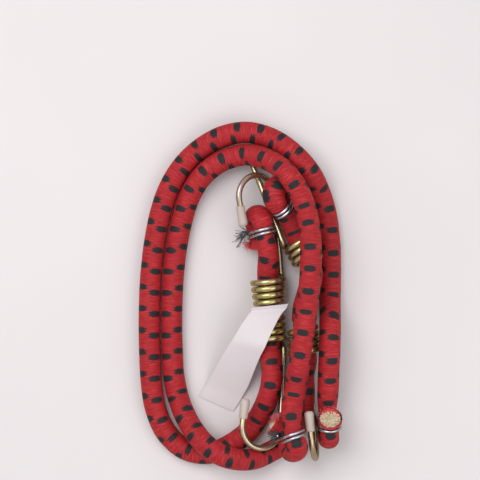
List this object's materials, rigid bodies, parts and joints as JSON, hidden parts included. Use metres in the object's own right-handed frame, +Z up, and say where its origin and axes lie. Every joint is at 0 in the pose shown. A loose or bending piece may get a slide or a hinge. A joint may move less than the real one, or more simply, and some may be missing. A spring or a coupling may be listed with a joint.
{
  "type": "bungee cord set",
  "caption": "Short elastic bungee cords with coiled wire hooks on their folded ends, hooked together in a flat oval bundle with a blank paper tag.",
  "frame": {"origin": "middle of the bundle's footprint, at the surface that it lies on", "axes": "+X to the right in the view from above, +Y up the long way of the oval, +Z up"},
  "size_m": [0.12, 0.2056, 0.0394],
  "materials": {
    "sheath": "woven",
    "core": "matte",
    "hook": "yellow zinc",
    "sleeve": "satin",
    "tie": "bright",
    "paper": "paper"
  },
  "bodies": {
    "bundle": {"cord_1_sheath": "sheath", "cord_1_core": "core", "cord_2_sheath": "sheath", "cord_2_core": "core", "clip_a": "tie", "clip_b": "tie", "clip_c": "tie", "clip_d": "tie", "tag": "paper"},
    "hook_a": {"hook_a_wire": "hook", "hook_a_tip": "sleeve"},
    "hook_b": {"hook_b_wire": "hook", "hook_b_tip": "sleeve"},
    "hook_c": {"hook_c_wire": "hook", "hook_c_tip": "sleeve"},
    "hook_d": {"hook_d_wire": "hook", "hook_d_tip": "sleeve"}
  },
  "joints": [
    {"name": "hook_a_swivel", "type": "hinge", "parent": "bundle", "child": "hook_a", "pos_m": [0.01692, 0.0018, 0.01069], "axis": [-0.0413, 0.9983, 0.0413], "range_deg": [-1.5, 22]},
    {"name": "hook_b_swivel", "type": "hinge", "parent": "bundle", "child": "hook_b", "pos_m": [0.03779, 0.02573, 0.0146], "axis": [-0.4039, 0.9035, -0.1435], "range_deg": [-2.5, 2.5]},
    {"name": "hook_c_swivel", "type": "hinge", "parent": "bundle", "child": "hook_c", "pos_m": [0.01726, -0.02008, 0.01078], "axis": [0.0068, -0.9985, 0.0543], "range_deg": [-7, 6]},
    {"name": "hook_d_swivel", "type": "hinge", "parent": "bundle", "child": "hook_d", "pos_m": [0.03785, -0.02583, 0.01321], "axis": [0.1055, -0.9919, -0.0703], "range_deg": [-5, 4]}
  ]
}
